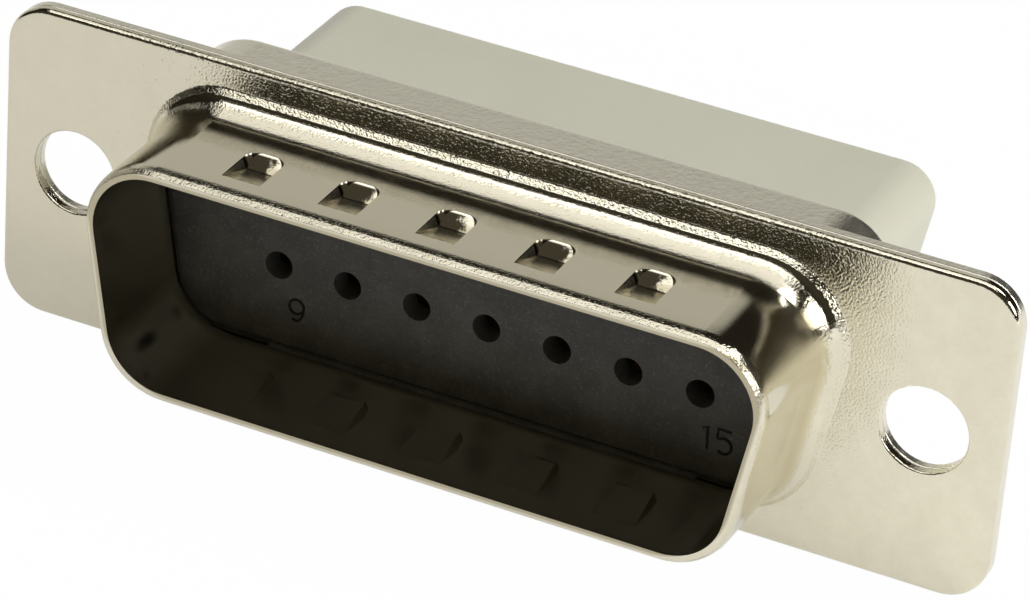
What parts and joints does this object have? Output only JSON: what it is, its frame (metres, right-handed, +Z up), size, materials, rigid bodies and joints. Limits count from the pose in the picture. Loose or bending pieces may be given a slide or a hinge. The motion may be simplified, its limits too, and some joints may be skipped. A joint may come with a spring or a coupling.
{
  "type": "crimp connector",
  "caption": "D-shaped plug housing for crimp contacts: plated steel shells hold a dark front insulator and a pale rear insulator with open contact cavities.",
  "frame": {"origin": "centre of the flange's front face, midway between the two holes", "axes": "+X along the flange, -Y towards the mating half, +Z up with the wide side of the D upwards"},
  "size_m": [0.0392, 0.0174, 0.0126],
  "materials": {
    "front_shell_steel": "tin plated, softly mirror-like with a fine orange-peel",
    "rear_shell_steel": "tin plated, satin",
    "dark_insulator": "matt glass-filled polyester moulding",
    "natural_insulator": "satin natural moulding",
    "clip_copper": "bright beryllium copper strip"
  },
  "bodies": {
    "root": {"front_shell": "front_shell_steel", "rear_shell": "rear_shell_steel", "front_insulator": "dark_insulator", "rear_insulator": "natural_insulator", "contact_clip_01": "clip_copper", "contact_clip_02": "clip_copper", "contact_clip_03": "clip_copper", "contact_clip_04": "clip_copper", "contact_clip_05": "clip_copper", "contact_clip_06": "clip_copper", "contact_clip_07": "clip_copper", "contact_clip_08": "clip_copper", "contact_clip_09": "clip_copper", "contact_clip_10": "clip_copper", "contact_clip_11": "clip_copper", "contact_clip_12": "clip_copper", "contact_clip_13": "clip_copper", "contact_clip_14": "clip_copper", "contact_clip_15": "clip_copper"}
  },
  "joints": []
}
